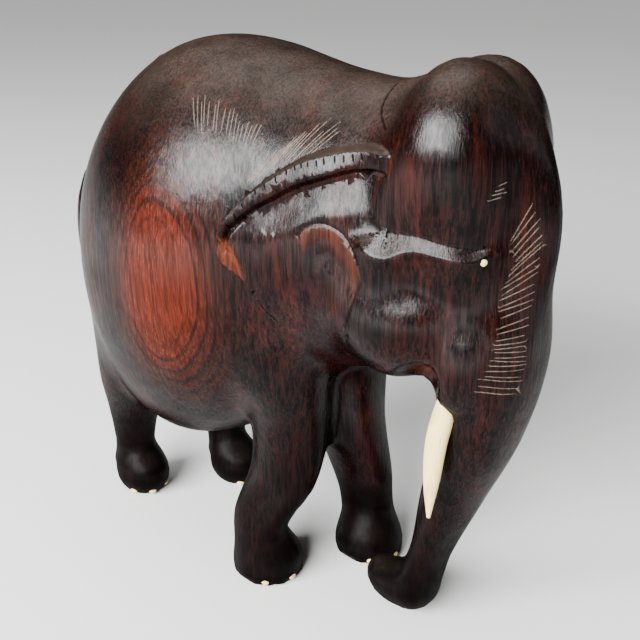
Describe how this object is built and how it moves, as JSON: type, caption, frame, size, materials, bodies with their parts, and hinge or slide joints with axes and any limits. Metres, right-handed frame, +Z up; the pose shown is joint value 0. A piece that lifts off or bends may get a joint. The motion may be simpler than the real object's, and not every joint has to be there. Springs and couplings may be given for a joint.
{
  "type": "carved elephant figure",
  "caption": "Standing elephant carved from one block of dark rosewood, with bone tusks, eyes and toenails inlaid; a free-standing table sculpture.",
  "frame": {"origin": "bottom centre of the bounding box, on the plane of the four soles", "axes": "+X towards the trunk, +Y the elephant's left side, +Z up"},
  "size_m": [0.3086, 0.1542, 0.295],
  "materials": {
    "rosewood": "hand-polished dark rosewood, near black with red-brown streaks, dusty on top",
    "bone": "satin aged bone, cream"
  },
  "bodies": {
    "root": {"carving": "rosewood", "tusk_right": "bone", "tusk_left": "bone", "eye_right": "bone", "eye_left": "bone", "nail_front_right_1": "bone", "nail_front_right_2": "bone", "nail_front_right_3": "bone", "nail_front_left_1": "bone", "nail_front_left_2": "bone", "nail_front_left_3": "bone", "nail_rear_right_1": "bone", "nail_rear_right_2": "bone", "nail_rear_right_3": "bone", "nail_rear_left_1": "bone", "nail_rear_left_2": "bone", "nail_rear_left_3": "bone"}
  },
  "joints": []
}
